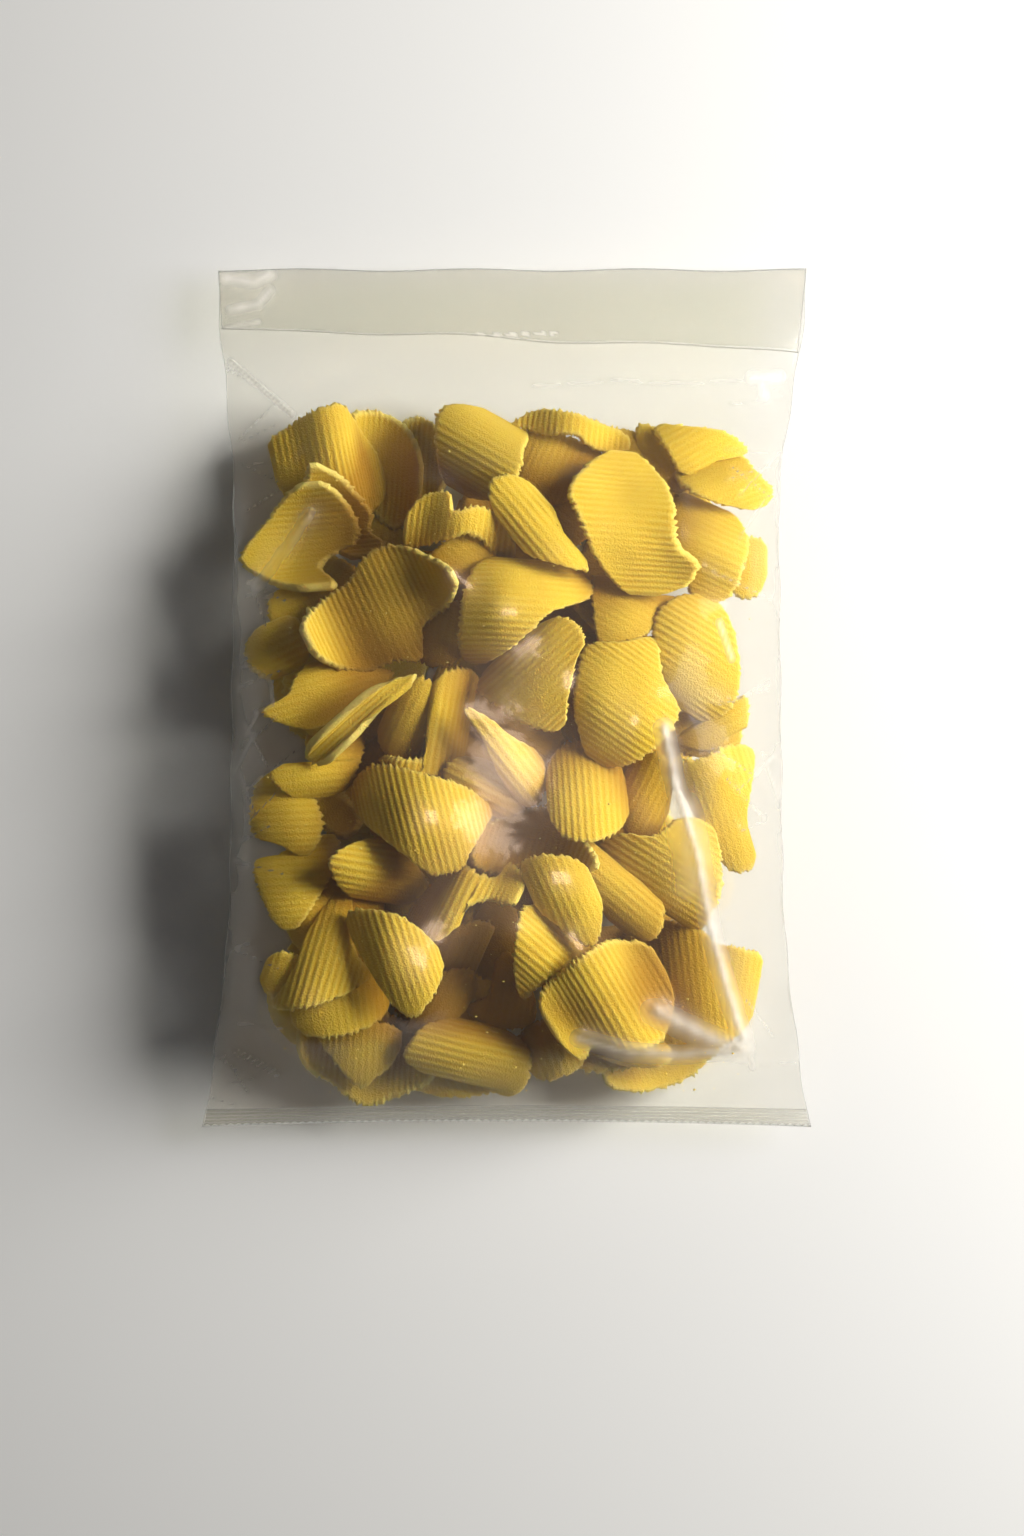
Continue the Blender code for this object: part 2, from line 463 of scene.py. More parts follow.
# %% The crisps that show through the front
front_crisps = [
    # the saddle left of the middle, the wide ones beside and above it
    crisp([(-50, 16), (-47, 22), (-38, 29), (-35, 34), (-27, 37), (-17, 33), (-12, 28), (-14, 22), (-20, 17),
           (-21, 9), (-27, 8.5), (-36, 6), (-45, 8.5)], ridges=-65, curl=-46, cup=24, wave=16),
    crisp([(15, 50), (20, 57), (26, 60.5), (32, 60), (38, 54), (41, 47), (42, 37), (47, 32), (44, 27),
           (36, 24.5), (29, 25.5), (22, 33), (17.5, 43)], ridges=-4, curl=34, cup=-14, wave=16),
    crisp([(-4, 52), (0, 54), (5, 52), (10, 47), (14, 39), (20, 30.5), (12, 32), (5, 35), (1, 40), (-3, 46)],
          ridges=-50, curl=40, cup=16),
    crisp([(-11, 20), (-9, 29), (-5, 32.5), (4, 33), (13, 32), (19, 30), (20.5, 24), (11, 20), (4, 14),
           (-1, 10.5), (-6, 8.5), (-11, 11)], ridges=-3, curl=48, cup=28, twist=1.5),
    crisp([(-25, 42), (-21, 48), (-14, 49.5), (-12.5, 45), (-6, 46), (0, 41), (2.5, 35), (-2, 34), (-8, 39),
           (-14, 38), (-24, 36.5)], ridges=82, curl=14, cup=30, wave=26),
    crisp([(-37, -21), (-32, -17), (-24, -18), (-15, -20.5), (-9, -23), (-4, -28), (-6, -33), (-9, -38),
           (-11, -42), (-18, -43.5), (-25, -38), (-33, -32), (-37, -27)], ridges=-76, curl=46, cup=34),
    crisp([(-7, 2), (-2, 9), (5, 15), (14, 19), (19, 14), (17, 8), (15, 0), (14, -7), (10, -8.5), (3, -6),
           (-3, -2)], ridges=42, curl=34, cup=16),
    crisp([(16.5, 1), (18, 9), (20, 12.5), (28, 13), (36, 13.5), (38, 4), (42, -4), (38, -11), (31, -16),
           (25, -17), (20, -14), (17.5, -7)], ridges=-35, curl=40, cup=28),
    crisp(oval(47, 9.5, 31, 20, -75, egg=0.12), ridges=-32, curl=34, cup=20),
    crisp([(8, -74), (11, -69), (21, -61), (28, -59.5), (35, -61), (39, -67), (41.5, -76), (38, -85),
           (30, -87), (22, -86), (18, -89.5), (10, -81)], ridges=-60, curl=16, cup=-14, wave=28),
    crisp([(-38, -53), (-32, -52), (-26, -53.5), (-20, -58), (-16, -64), (-17, -71), (-22, -78), (-27, -75),
           (-33, -66), (-38, -57)], ridges=-72, curl=44, cup=22),
    # the lower middle: the pale upright one, the arch, and what leans on them
    crisp([(4, -41), (10, -38.5), (17, -40), (21, -45), (23, -53), (21, -61), (13, -56), (7, -50)],
          ridges=-66, curl=34, cup=20, fade=0.6),
    crisp([(-24, -54), (-20, -49), (-16, -45), (-11, -41.5), (-6, -43.5), (-2, -44), (1, -41), (4.5, -45),
           (2, -51), (-5, -50), (-10, -52), (-12, -56), (-17, -59.5), (-22, -57)],
          ridges=64, curl=26, cup=22, wave=34, phase=1.2),
    crisp(oval(19.5, -23, 25, 19, -80, egg=-0.1), ridges=-86, curl=40, cup=18),
    crisp([(-10, -3), (-5, -5), (1, -10), (7, -14), (9.5, -20), (8, -26), (4, -26), (-1, -19), (-5, -11)],
          ridges=-52, curl=50, cup=12),
    crisp(oval(-5, -22, 22, 11, -24, egg=-0.1), ridges=-26, curl=38, cup=20),
    crisp([(3, -53), (8, -51), (14, -56), (20.5, -62), (15, -66), (8, -71), (4, -74), (2, -66)],
          ridges=-42, curl=36, cup=14, wave=14),
    crisp([(-24, -85), (-20, -81), (-12, -80), (-4, -82), (3, -85), (6, -89), (5, -96), (0, -99), (-8, -94),
           (-14, -92), (-20, -92.5), (-25, -89)], ridges=-14, curl=50, cup=12),
    # the left column: the scroll with its second rim, the leaf, the standing curl
    crisp([(-53, 51), (-47, 53), (-41, 50), (-37, 44), (-36.5, 38.5), (-41, 36), (-45.5, 32), (-42, 27),
           (-52, 26.5), (-60, 29), (-66, 34), (-60, 43)],
          ridges=4, curl=-38, cup=-10, hook=-40, lean_to=180, lean=8),
    crisp([(-49, 56.5), (-42, 55), (-36.5, 50), (-33, 45), (-33.5, 41), (-30, 37), (-38, 34), (-48, 42)],
          ridges=4, curl=-50, cup=-14),
    crisp([(-17, 2), (-15, 6), (-9, 6.5), (-7, 2.5), (-11, -1), (-12, -9), (-11.5, -17), (-16, -20),
           (-29, -17.5), (-30, -15), (-20, -15), (-16, -10), (-15.5, -4)],
          ridges=80, curl=58, cup=12, twist=2),
    crisp([(-49, -14), (-45, -9), (-37, -2), (-30, 3), (-22, 5), (-27, 0), (-31, -3), (-35, -8), (-41, -14),
           (-46, -17)], ridges=42, curl=-62, cup=12, wave=12),
    crisp([(-43, -41), (-39, -37), (-31, -35.5), (-25, -38), (-21, -43), (-19, -48), (-24, -50.5), (-32, -50),
           (-39, -48)], ridges=-10, curl=46, cup=30),
    crisp([(-57, -76), (-52, -68), (-47, -56), (-42, -49), (-38, -50), (-38.5, -57), (-36, -64), (-33, -68),
           (-40, -73), (-49, -76)], ridges=74, curl=42, cup=16),
    crisp([(-25, -82.5), (-20, -76), (-17, -69), (-12, -67), (-8, -68), (-8, -73), (-12, -79), (-17, -82)],
          ridges=62, curl=36, cup=12),
    # the top row
    crisp([(-59, 64), (-50, 70), (-42, 73), (-38, 68), (-32, 59), (-31, 51), (-36, 45), (-48, 46), (-55, 50),
           (-58, 57)], ridges=-78, curl=38, cup=20, wave=20, phase=1.0),
    crisp([(-39, 70), (-33, 72), (-26, 69), (-22, 62), (-21, 54), (-23, 46), (-28, 42), (-34, 47), (-37, 58)],
          ridges=86, curl=-50, cup=-18),
    crisp([(-17, 71), (-8, 72), (0, 68), (5, 65), (4, 60), (3, 54), (-1, 49), (-9, 50), (-15, 54), (-17, 60)],
          ridges=-32, curl=62, cup=8),
    crisp([(1, 68), (8, 71.5), (16, 70.5), (22, 68.5), (29, 66), (31, 62), (26.5, 60.5), (20, 62), (17, 64.5),
           (10, 65), (5, 66.5)], ridges=84, curl=20, cup=18, wave=24),
    crisp([(-26, 69), (-20, 70), (-16, 65), (-14.5, 58), (-16, 52), (-20, 46.5), (-26, 49), (-27, 60)],
          ridges=86, curl=-48, cup=-12),
    crisp([(37, 67), (46, 67), (55, 65.5), (60, 61), (52, 58.5), (44, 55), (40, 60)],
          ridges=30, curl=22, cup=14, fade=0.5),
    crisp([(42, 55), (50, 58.5), (58, 60), (62, 56), (66, 51), (62, 46.5), (53, 47.5), (45, 50.5)],
          ridges=20, curl=34, cup=14, wave=10, fade=0.5),
    crisp([(32.5, 67.5), (36.5, 67), (39, 61), (45, 53), (41, 50.5), (36, 56), (33, 62)],
          ridges=-62, curl=30, cup=12, fade=0.4, sunk=1.0),
    # the hollow arch and the ones at the right side
    crisp([(-9, -40), (-6, -32), (1, -28.5), (9, -27), (16, -30), (20, -36), (22, -42), (12, -43), (4, -42),
           (-3, -44)], ridges=72, curl=-54, cup=-30),
    crisp([(18, -34), (22, -38), (26, -44), (32, -48.5), (38, -51), (37, -59), (31, -58.5), (25, -54),
           (21, -46)], ridges=-40, curl=42, cup=12),
    crisp([(22, -36), (29, -33.5), (36, -34), (42, -30), (50, -32), (52.5, -42), (51, -52), (47, -57),
           (40, -52), (31, -48), (25, -43)], ridges=-32, curl=30, cup=24),
    crisp([(41, -17), (48, -15), (54, -12), (60, -13), (60.5, -18), (59, -30), (61, -41), (56, -43),
           (51, -38), (46, -28)], ridges=-72, curl=40, cup=14, fade=0.6),
    crisp([(37, -56), (44, -56), (50, -59), (54, -66), (57, -76), (58, -82), (53, -85.5), (46, -82),
           (41, -76), (39, -66)], ridges=-84, curl=24, cup=16, fade=0.6),
    crisp([(41, -11), (46, -13), (52, -12.5), (56, -8), (59.5, -6), (59, 0), (54, -3), (50, -8), (45, -9)],
          ridges=30, curl=34, cup=16, fade=0.5),
    crisp(oval(49, -9, 18, 12, 0), ridges=30, curl=30, cup=16, fade=0.5),
    crisp([(21, 28), (26, 29), (36, 25), (42, 24), (38, 18), (31, 13), (25, 10.5), (22, 15)],
          ridges=-28, curl=34, cup=22, fade=0.5),
    crisp([(42, 50), (48, 49), (56, 45), (59.5, 39), (58, 31), (54, 24), (46, 24), (43, 34), (41, 42)],
          ridges=-24, curl=30, cup=14, wave=12, fade=0.5),
    crisp([(27, 66), (32, 66), (37, 59), (41, 52), (37, 47), (28, 50), (24, 60)],
          ridges=-84, curl=30, cup=18, fade=0.4),
    # deeper ones that fill the gaps between them
    crisp([(3, 66), (12, 66), (20, 63), (24, 60), (20, 54), (14, 48), (7, 49), (2, 56)],
          ridges=68, curl=34, cup=18, fade=0.5),
    crisp(oval(-23.5, -5.5, 21, 12, 62), ridges=66, curl=40, cup=20, fade=0.3),
    crisp([(-60, -4), (-54, 0), (-52, 4), (-47, 8.5), (-38, 8), (-28, 6), (-32, 1), (-40, -5), (-50, -7.5)],
          ridges=16, curl=42, cup=14, fade=0.6),
    crisp(oval(-56, 12, 17, 13, 30), ridges=24, curl=36, cup=18, fade=0.5, sunk=1.0),
    crisp([(-58, -19), (-52, -17), (-45, -17), (-41, -12), (-35, -10), (-36, -17), (-39, -22), (-45, -24.5),
           (-53, -24)], ridges=6, curl=38, cup=16, fade=0.5),
    crisp([(-63, -28), (-61, -21), (-55, -18.5), (-49, -23), (-45, -31), (-49, -39), (-56, -36), (-62, -34)],
          ridges=2, curl=28, cup=24, fade=0.5),
    crisp([(-62, -41), (-56, -39), (-50, -36), (-43, -34), (-41, -40), (-46, -49), (-52, -57), (-57, -55),
           (-61, -47)], ridges=4, curl=30, cup=24, fade=0.5),
    crisp(oval(-42, -29, 13, 10, -40), ridges=30, curl=-52, cup=-34, fade=0.3),
    crisp(oval(-41, -75.5, 24, 15, 12), ridges=-82, curl=34, cup=24, fade=0.6),
    crisp([(-47, -83), (-43, -81), (-33, -80), (-26, -83), (-28, -90), (-32, -94), (-36, -97), (-41, -92)],
          ridges=86, curl=26, cup=24, fade=0.6),
    crisp([(-52, -85), (-50, -79), (-38, -76), (-26, -80), (-18, -90), (-19, -95.5), (-28, -100),
           (-36, -102), (-43, -97), (-50, -92)], ridges=86, curl=-36, cup=-26),
    crisp([(-18, -60), (-11, -56), (-5, -55), (-3.5, -58), (-7, -62), (-8, -68), (-14, -68), (-17, -65)],
          ridges=66, curl=34, cup=14, fade=0.5),
    crisp([(-10, -77), (-4, -73), (-2, -65), (1, -63), (5, -69), (7, -76), (6, -81), (-3, -82)],
          ridges=80, curl=34, cup=20, fade=0.5),
    crisp([(50, -62), (60, -62.5), (63, -66), (61, -73), (60, -80), (56, -84), (53, -74)],
          ridges=80, curl=36, cup=14, fade=0.4, sunk=1.0),
    crisp(oval(-16, 15.5, 17, 13, 75), ridges=78, curl=30, cup=20, fade=0.5),
    crisp(oval(-8.5, 34, 22, 12, 20), ridges=-38, curl=28, cup=18, fade=0.5),
    crisp(oval(34, -24, 22, 12, 80), ridges=64, curl=40, cup=10, fade=0.5),
    crisp(oval(14, 43, 14, 10, -60), ridges=-40, curl=30, cup=16, fade=0.4),
    crisp(oval(-30, 41, 13, 10, 90), ridges=80, curl=30, cup=18, fade=0.4),
    crisp(oval(0, -6, 30, 14, -30), ridges=-30, curl=32, cup=18, fade=0.4, sunk=2.0),
    crisp([(2, -86), (8, -80), (13, -83), (19, -90), (14, -94), (9, -95), (4, -91)],
          ridges=-72, curl=30, cup=20, fade=0.5),
    crisp(oval(30, -87, 22, 8, -10), ridges=-20, curl=30, cup=12, fade=0.4, sunk=2.0),
    crisp(oval(-54, -69, 12, 12, 60), ridges=70, curl=32, cup=16, fade=0.4),
    crisp(oval(60, 32, 16, 9, 80), ridges=88, curl=18, cup=12, fade=0.2, sunk=4.0),
    crisp(oval(-50, 22, 18, 12, 10), ridges=20, curl=34, cup=18, fade=0.4, sunk=2.0),
    crisp(oval(-3, -60, 20, 12, 80), ridges=60, curl=30, cup=18, fade=0.3, sunk=2.0),
    crisp(oval(38, -62, 18, 12, 0), ridges=-60, curl=28, cup=18, fade=0.4, sunk=2.0),
]
built = [build_crisp(item, number) for number, item in enumerate(front_crisps)]
print(len(built), "crisps in front, the deepest at", round(min(p[:, 2].min() for p, _, _ in built), 1))

# %% [markdown]
# ## The crisps behind
#
# The crisps that cannot be seen well fill the room between the front ones and the back
# film. They are made by chance, from a fixed seed: each tries a place, settles on what
# lies below it, and stays only if it also fits under what is above.

# %% Fill the bag
FILLER_TRIES = 520
FILLER_ROWS = (-92.0, 60.0)
FILLER_REACH = 59.0
FILLER_TOP = 66.0
FILLER_CORNERS = 9
UNEVEN = (0.86, 1.1)
OVERLAP = 0.8
OVERLAP_SHARE = 0.04
LOWEST = 0.3


def random_crisp(rng):
    """A crisp of a usual size with an uneven oval outline."""
    x, y = rng.uniform(-60, 60), rng.uniform(*FILLER_ROWS)
    turn = rng.uniform(0, FULL_TURN)
    cosine, sine = math.cos(turn), math.sin(turn)
    half_a, half_b = rng.uniform(10, 14), rng.uniform(13, 19)
    outline = []
    for corner in range(FILLER_CORNERS):
        angle = corner * 2 * np.pi / FILLER_CORNERS
        a = half_a * math.cos(angle) * rng.uniform(*UNEVEN)
        b = half_b * math.sin(angle) * rng.uniform(*UNEVEN)
        outline.append((x + a * cosine - b * sine, y + a * sine + b * cosine))
    curl = rng.choice([-1, 1]) * rng.uniform(20, 44)
    return crisp(outline, rng.uniform(0, 180), curl, rng.uniform(-12, 24), wave=rng.uniform(0, 18),
                 phase=rng.uniform(0, 6), twist=rng.uniform(-2, 2), fade=0.8)


fill_rng = np.random.default_rng(77)
fillers = []
for attempt in range(FILLER_TRIES):
    points, quads, marks = crisp_points(random_crisp(fill_rng), fill_rng, False)
    points = nest(points, ground, False, True)
    room = ceiling[map_cells(points)] - points[:, 2]
    inside = (np.abs(points[:, 0] + 2.0) < FILLER_REACH) & (points[:, 1] < FILLER_TOP)
    if np.quantile(room, OVERLAP_SHARE) < -OVERLAP or not inside.all() or points[:, 2].min() < LOWEST:
        continue
    stamp(ground, points, np.maximum, -FAR)
    fillers.append((points, quads, marks))
print(len(fillers), "crisps behind them")


# %% [markdown]
# In the bag every crisp is loose, and a hundred separate objects would be slow to handle.
# So they are joined into five pieces by kind and depth, each light enough to export. The
# points go into each mesh as whole arrays, which is far quicker than one face at a time,
# and their marks go in as a colour attribute that the finish can read.

# %% Meshes of the crisps
SHADED_DEPTH = (3.5, 13.0)
SIDE_SHARE = 0.4


def mesh_object(name, points, quads, marks=None):
    """A mesh object from arrays in millimetres."""
    mesh = bpy.data.meshes.new(name)
    mesh.vertices.add(len(points))
    mesh.vertices.foreach_set("co", (points * MM).astype(np.float32).ravel())
    mesh.loops.add(quads.size)
    mesh.loops.foreach_set("vertex_index", quads.astype(np.int32).ravel())
    mesh.polygons.add(len(quads))
    mesh.polygons.foreach_set("loop_start", np.arange(0, quads.size, 4, dtype=np.int32))
    mesh.polygons.foreach_set("use_smooth", np.ones(len(quads), dtype=bool))
    mesh.update(calc_edges=True)
    mesh.validate()
    if marks is not None:
        colour = mesh.color_attributes.new("marks", "FLOAT_COLOR", "POINT")
        x, y, z = points.T
        # Painted shade: the fourth mark darkens crisps deep below the film and away from the sides towards
        # brown, where the gaps between crisps lie in shade.
        deep_in = np.minimum(pillow_height(x, y) - z, z - back_height(x, y))
        deep_in = np.minimum(deep_in, SIDE_SHARE * (half_width(y / LENGTH + 0.5) - np.abs(x)))
        full = np.concatenate([marks, smooth(*SHADED_DEPTH, deep_in)[:, None]], axis=1)
        colour.data.foreach_set("color", full.astype(np.float32).ravel())
    made = bpy.data.objects.new(name, mesh)
    bpy.context.scene.collection.objects.link(made)
    return made


def joined(parts):
    """Several crisps as one set of arrays."""
    starts = np.cumsum([0] + [len(points) for points, _, _ in parts[:-1]])
    points = np.concatenate([part[0] for part in parts])
    quads = np.concatenate([part[1] + start for part, start in zip(parts, starts)])
    return points, quads, np.concatenate([part[2] for part in parts])


domed = [part for part, item in zip(built, front_crisps) if item.curl >= 0]
cupped = [part for part, item in zip(built, front_crisps) if item.curl < 0]
third = len(domed) // 3
crisp_pieces = []
for name, parts in (
    ("crisps_domed_front", domed[:third]),
    ("crisps_domed_middle", domed[third:2 * third]),
    ("crisps_domed_deeper", domed[2 * third:]),
    ("crisps_cupped", cupped),
    ("crisps_behind", fillers),
):
    piece = mesh_object(name, *joined(parts))
    crisp_pieces.append(piece)
    print(name, len(parts), "crisps,", 2 * len(piece.data.polygons), "triangles")

# %% [markdown]
# ## Crumbs
#
# A bag of crisps always holds crumbs and grains of salt, which cling to the inside of the
# film. Each is a lump of a few faces, a little uneven. They are scattered by chance over
# the front, more of them towards the bottom, and set just under the film further down.

# %% One crumb
RING_TILTS = (-1.1, -0.4, 0.4, 1.1)
RING = 8
CRUMB_HEIGHT = 0.55


def crumb(rng, size):
    """An uneven lump: four rings of eight corners, closed at its bottom and its top."""
    ring = np.array([(math.cos(a), math.sin(a)) for a in np.arange(RING) * 2 * np.pi / RING])
    rows = []
    for tilt in RING_TILTS:
        rows.append(np.column_stack([ring * math.cos(tilt), np.full(RING, math.sin(tilt))]))
    lump = np.stack(rows)
    lump = lump * rng.uniform(0.6, 1.1, lump.shape) * size
    lump = lump * np.array([1.0, rng.uniform(0.5, 1.0), CRUMB_HEIGHT])
    index = np.arange(lump.shape[0] * RING).reshape(-1, RING)
    quads = []
    for below, above in zip(index[:-1], index[1:]):
        for k in range(RING):
            after = (k + 1) % RING
            quads.append((below[k], below[after], above[after], above[k]))
    first, last = index[0], index[-1]
    for k in range(RING // 2 - 1):
        quads.append((first[k], first[-1 - k], first[-2 - k], first[k + 1]))
        quads.append((last[k], last[k + 1], last[-2 - k], last[-1 - k]))
    return lump.reshape(-1, 3), np.array(quads)


# %% [markdown]
# ## The film
#
# Thin film under tension takes the shape of a soap skin: between the points that hold it
# up, every point lies at the mean height of its neighbours. So the film starts above the
# crisps and is averaged with its neighbours many times, but may never sink below a crisp.
# The folds that pull across a real bag are added as taut lines in the air, which the skin
# has to pass over, and that gives each one its sharp crest and its hollow flanks.

# %% The film's grid
COLUMNS, ROWS = 181, 261
CROWDING = 0.45
BOTTOM_ARCH = 1.5
EDGE_WAVE = 0.3
steps = np.linspace(-1.0, 1.0, COLUMNS)
column_place = (1.0 - CROWDING) * steps + CROWDING * np.sin(0.5 * np.pi * steps)
across_grid = column_place[:, None] + np.zeros((1, ROWS))
along_grid = np.linspace(0.0, 1.0, ROWS)[None, :] + np.zeros((COLUMNS, 1))


def lean_at(along):
    """How far the bag's middle line stands to one side."""
    return TOP_LEAN * smooth(WAIST_RELEASES, 1.0, along)


film_x = across_grid * half_width(along_grid) + lean_at(along_grid)
film_x = film_x + EDGE_WAVE * np.sin(film_x * 0.02 + along_grid * 61.0) * np.abs(across_grid) ** 9
film_y = LENGTH * (along_grid - 0.5) + BOTTOM_ARCH * (1.0 - across_grid**2) * (1.0 - along_grid)
film_y = film_y - EDGE_WAVE * (1.0 + np.sin(across_grid * 11.0)) * smooth(0.9, 1.0, along_grid)


def film_cells(points):
    """The cells of the film's grid over some points."""
    along = points[:, 1] / LENGTH + 0.5
    across = (points[:, 0] - lean_at(along)) / half_width(along)
    i = np.rint(np.interp(across, column_place, np.arange(COLUMNS))).astype(int)
    j = np.clip(np.rint(along * (ROWS - 1)).astype(int), 0, ROWS - 1)
    return i, j


def pull_tight(film, limit, pick, rounds):
    """Averages a film with its neighbours, its rim held, over what it may not pass."""
    film = film.copy()
    for _ in range(rounds):
        middle = 0.25 * (film[:-2, 1:-1] + film[2:, 1:-1] + film[1:-1, :-2] + film[1:-1, 2:])
        film[1:-1, 1:-1] = pick(middle, limit[1:-1, 1:-1])
    return film


# %% [markdown]
# A cloth simulation would do the same in minutes and is harder to steer. Averaging takes
# seconds and always ends the same. At each point of the film's grid the highest crisp sets
# how low the front may go, and the lowest one sets how high the back may rise, with a
# little air between film and crisp.

# %% Rest the film on the crisps
CLEARANCE = 0.30
BACK_LOWEST = 0.05
ROUNDS = 900
crisp_cloud = np.concatenate([points for points, _, _ in built + fillers])
cells = film_cells(crisp_cloud)
over = np.full((COLUMNS, ROWS), -FAR)
np.maximum.at(over, cells, crisp_cloud[:, 2])
over = widened(widened(over, np.maximum), np.maximum) + CLEARANCE
under = np.full((COLUMNS, ROWS), FAR)
np.minimum.at(under, cells, crisp_cloud[:, 2])
under = np.maximum(widened(widened(under, np.minimum), np.minimum) - CLEARANCE, BACK_LOWEST)
front = pull_tight(pillow_height(film_x, film_y), over, np.maximum, ROUNDS)
back = pull_tight(back_height(film_x, film_y), under, np.minimum, ROUNDS)

# %% [markdown]
# The film hardly stretches, so where it has too much width it creases, and each crease
# runs straight between the places that pull on it. Creases could be drawn in a texture,
# but flat film would give them no shine. Each is a short line of points in plan, its lift
# over the film, how wide its white flank is and how white; that white is partly the
# whitening of creased film and partly a painted highlight on the flank. Small ones at
# random fill the side edges, where a sleeve that holds round contents always puckers.

# %% The folds of the front
LINE_STEP = 0.4
LEAST_LIFT = 0.3
SMALL_FOLDS = 46
Fold = namedtuple("Fold", "points lift width strength")
folds = [
    Fold([(38, -8), (41, -22), (46, -38), (50, -58), (54, -72), (58, -84)], 5.0, 2.0, 1.0),
    Fold([(36, -77), (42, -80), (50, -84), (58, -87)], 4.0, 2.6, 1.0),
    Fold([(18, -83.5), (30, -87), (42, -88), (58, -87)], 3.2, 1.9, 1.0),
    Fold([(53, -74), (58, -83), (61, -92)], 1.6, 0.9, 0.35),
    Fold([(43, -28), (46, -46)], 0.6, 4.2, 0.6),
    Fold([(7, 77), (28, 78.5), (45, 77.8), (60.5, 79)], 1.2, 1.3, 0.14),
    Fold([(61, 79.5), (68, 80)], 1.2, 1.5, 0.9),
    Fold([(63.8, 78), (64.2, 75)], 1.0, 1.3, 0.9),
    Fold([(-69, 84), (-53, 70)], 2.2, 0.8, 0.5),
    Fold([(-48, 45), (-54, 36), (-61, 27)], 2.6, 2.6, 0.22),
    Fold([(-64, 8), (-58, 4), (-57, -2), (-61, -4)], 1.4, 0.7, 0.25),
    Fold([(52, 18), (55, 9)], 1.0, 0.9, 0.6),
]


def lay_fold(limit, base, fold):
    """Adds a taut line to the limit that the film may not pass."""
    corners = np.array(fold.points, dtype=float)
    for start, end in zip(corners[:-1], corners[1:]):
        count = int(np.linalg.norm(end - start) / LINE_STEP) + 1
        share = np.linspace(0.0, 1.0, count)[:, None]
        line = start + (end - start) * share
        cells = film_cells(line)
        first, last = base[cells[0][0], cells[1][0]], base[cells[0][-1], cells[1][-1]]
        height = first + (last - first) * share[:, 0] + fold.lift * np.ones(count)
        np.maximum.at(limit, cells, np.maximum(height, base[cells] + LEAST_LIFT * fold.lift))


def small_folds(rng, count):
    """Short folds that run in from the side edges, where the film has too much width."""
    made = []
    for _ in range(count):
        side = rng.choice([-1, 1])
        y = rng.uniform(-100, 84)
        x = side * (half_width(y / LENGTH + 0.5) - rng.uniform(1, 7))
        run, climb = rng.uniform(4, 13), rng.uniform(-11, 11)
        made.append(Fold([(x, y), (x - side * run, y + climb)], rng.uniform(0.4, 1.3), 0.6, 0.14))
    return made


# %% Whiteness and the folded front
FOLD_ROUNDS = 120
SETTLING_ROUNDS = 3
AIR = 0.15
FILMS_APART = 0.25


def fold_whitening_and_highlight(x, y, lines):
    """How white a film looks along its folds: partly creased film scattering light, partly a painted
    highlight on the flanks.
    """
    total = np.zeros_like(x)
    for fold in lines:
        for (x0, y0), (x1, y1) in zip(fold.points[:-1], fold.points[1:]):
            run = (x1 - x0) ** 2 + (y1 - y0) ** 2
            share = np.clip(((x - x0) * (x1 - x0) + (y - y0) * (y1 - y0)) / run, 0.0, 1.0)
            distance = np.hypot(x - x0 - share * (x1 - x0), y - y0 - share * (y1 - y0))
            flank = np.exp(-((distance / fold.width) ** 2))
            crest = np.exp(-((distance / (0.35 * fold.width)) ** 2))
            total = np.maximum(total, fold.strength * (0.6 * flank + 0.4 * crest))
    patchy = 0.5 + 0.5 * np.sin(0.9 * x + 0.5 * y) * np.sin(0.7 * y - 0.4 * x + 1.0)
    return total * (0.72 + 0.28 * patchy)


front = pull_tight(front, np.full_like(front, -FAR), np.maximum, SETTLING_ROUNDS) + AIR
taut = front.copy()
folds = folds + small_folds(np.random.default_rng(5), SMALL_FOLDS)
for fold in folds:
    lay_fold(taut, front, fold)
front = pull_tight(taut, taut, np.maximum, FOLD_ROUNDS)
rim = np.zeros_like(front, dtype=bool)
rim[[0, -1], :] = True
rim[:, [0, -1]] = True
front = np.where(rim, front, np.maximum(front, back + FILMS_APART))
print(len(folds), "folds, the front film up to", round(front.max(), 1), "mm high")


# %% [markdown]
# Front and back are one closed skin that shares the points of its rim, as the sleeve is
# one tube of film. Each point also keeps how white it looks, and each face says whether it
# belongs to the back, which lies against the floor and gets a duller film of its own.

# %% The film's mesh
def add_whiteness(piece, amounts):
    """Keeps how white each point of a film looks."""
    kept = piece.data.attributes.new("whiteness", "FLOAT", "POINT")
    kept.data.foreach_set("value", amounts.astype(np.float32))


front_points = np.stack([film_x, film_y, front], axis=2).reshape(-1, 3)
back_points = np.stack([film_x, film_y, back], axis=2)[1:-1, 1:-1].reshape(-1, 3)
film_quads = skin_faces(COLUMNS, ROWS)
film = mesh_object("bag_film", np.concatenate([front_points, back_points]), film_quads)
# The front's whiteness along its folds is partly the whitening of creased film and partly a painted highlight
# on the fold flanks.
front_white = fold_whitening_and_highlight(film_x, film_y, folds).ravel()
add_whiteness(film, np.concatenate([front_white, np.zeros(len(back_points))]))
is_back = np.arange(len(film_quads)) >= len(film_quads) // 2
film.data.polygons.foreach_set("material_index", is_back.astype(np.int32))
print("film:", 2 * len(film.data.polygons), "triangles")

# %% [markdown]
# The crumbs wait until the film is in place, because they hang on its inner face. Crumbs
# slide down when a bag is carried, so a curve on the chance makes them denser towards the
# bottom, and small ones are far more common than large ones.

